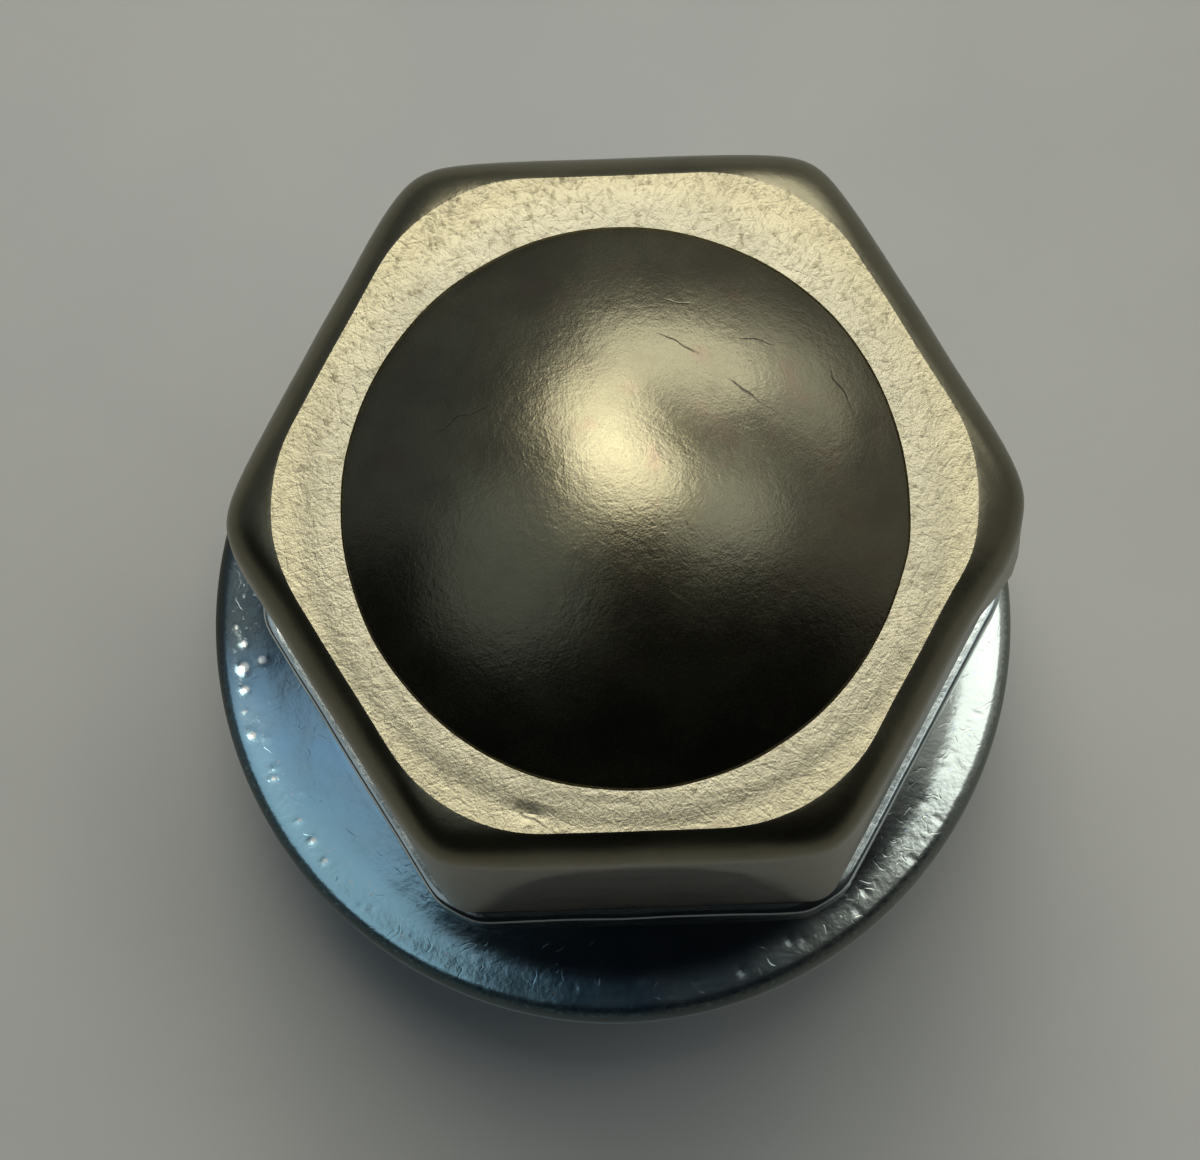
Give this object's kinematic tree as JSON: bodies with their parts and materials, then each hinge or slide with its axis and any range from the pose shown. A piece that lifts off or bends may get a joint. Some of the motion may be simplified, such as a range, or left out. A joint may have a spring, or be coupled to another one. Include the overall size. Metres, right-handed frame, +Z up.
{
  "type": "wheel nut",
  "caption": "Hexagonal wheel nut with a pressed domed cap, a threaded hole from below and a loose conical washer held captive on its shank by a flared lip.",
  "frame": {"origin": "on the nut's thread axis, in the plane of the tapered seat's small end, which the nut stands on", "axes": "+Z up along the thread axis towards the domed cap, +X through two corners of the hexagon, +Y square to two of its flats"},
  "size_m": [0.0236, 0.0236, 0.0336],
  "materials": {
    "cap_sheet": "satin drawn stainless sheet, slightly warm, scuffed all over",
    "nut_plating": "bright zinc plate on forged steel, blue passivated",
    "washer_plating": "glossy blue passivated zinc plate, dinged round the rim"
  },
  "bodies": {
    "nut": {"cap": "cap_sheet", "nut_body": "nut_plating"},
    "loose_washer": {"washer": "washer_plating"}
  },
  "joints": [
    {"name": "washer_spin", "type": "hinge", "parent": "nut", "child": "loose_washer", "pos_m": [-0.00063, -0.0003, 0.007], "axis": [0, 0, 1], "continuous": true}
  ]
}
